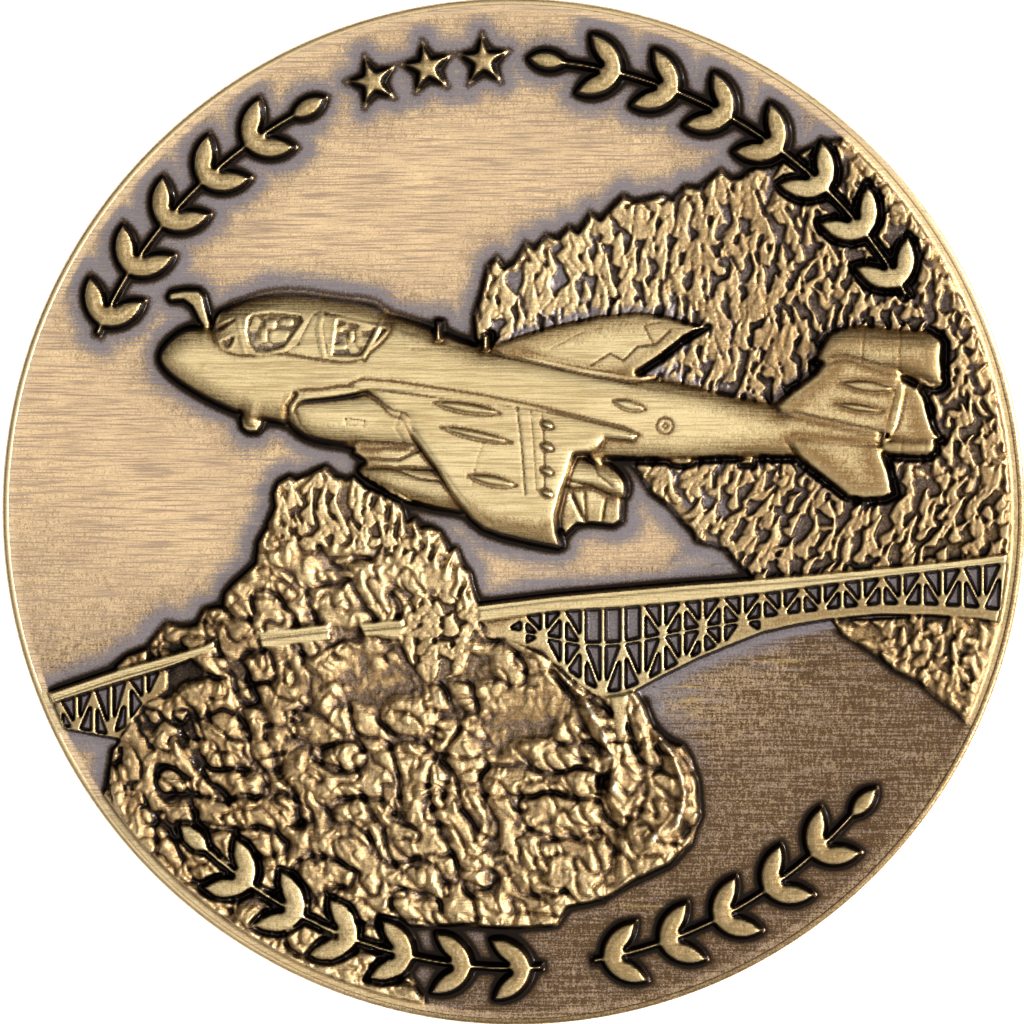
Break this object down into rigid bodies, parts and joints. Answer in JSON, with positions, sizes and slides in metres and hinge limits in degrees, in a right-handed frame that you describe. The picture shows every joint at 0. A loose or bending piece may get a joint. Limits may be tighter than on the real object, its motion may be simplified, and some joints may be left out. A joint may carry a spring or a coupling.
{
  "type": "challenge coin",
  "caption": "Struck metal coin in an antique finish with a jet, a wooded hill and an arch bridge in high relief, inside a ring of laurel and stars.",
  "frame": {"origin": "bottom centre of the bounding box: on the coin's axis, in the plane that the reverse border rests on", "axes": "+Z out of the obverse, +Y towards 12 o'clock of the obverse, +X to its right"},
  "size_m": [0.0444, 0.0444, 0.0037],
  "materials": {
    "antique_field": "antique-plated, finely brushed, with dark patina in the low places",
    "antique_relief": "antique-plated, worn bright on the high places",
    "reverse_relief": "antique-plated, worn bright on the high places"
  },
  "bodies": {
    "root": {"arch_bridge_deck": "antique_relief", "arch_bridge_truss": "antique_relief", "belly_aerial": "antique_relief", "bridge_pier": "antique_relief", "canopy_frame": "antique_relief", "cockpit_canopy": "antique_relief", "engine_nacelle": "antique_relief", "far_wing": "antique_relief", "fin_bulges": "antique_relief", "fin_tip_pod": "antique_relief", "flap_fairings": "antique_relief", "forest_hill": "antique_relief", "fuselage_bulge": "antique_relief", "island_trees": "antique_relief", "jet_fuselage": "antique_relief", "left_bridge_deck": "antique_relief", "left_bridge_truss": "antique_relief", "mid_bridge_deck": "antique_relief", "near_tailplane": "antique_relief", "near_wing": "antique_relief", "planchet": "antique_field", "rear_pod": "antique_relief", "rear_pod_fins": "antique_relief", "refuelling_probe": "antique_relief", "reverse_border": "reverse_relief", "reverse_star": "reverse_relief", "reverse_wreath_left": "reverse_relief", "reverse_wreath_right": "reverse_relief", "right_bank": "antique_relief", "river_ripples": "antique_relief", "rock_island": "antique_relief", "round_port": "antique_relief", "rudder": "antique_relief", "spine_aerials": "antique_relief", "sprig_lower_left": "antique_relief", "sprig_lower_right": "antique_relief", "sprig_upper_left": "antique_relief", "sprig_upper_right": "antique_relief", "star_left": "antique_relief", "star_middle": "antique_relief", "star_right": "antique_relief", "tail_cone": "antique_relief", "tail_fin": "antique_relief", "underwing_pod": "antique_relief", "ventral_fairings": "antique_relief", "wing_bulges": "antique_relief", "wing_pylon": "antique_relief"}
  },
  "joints": []
}
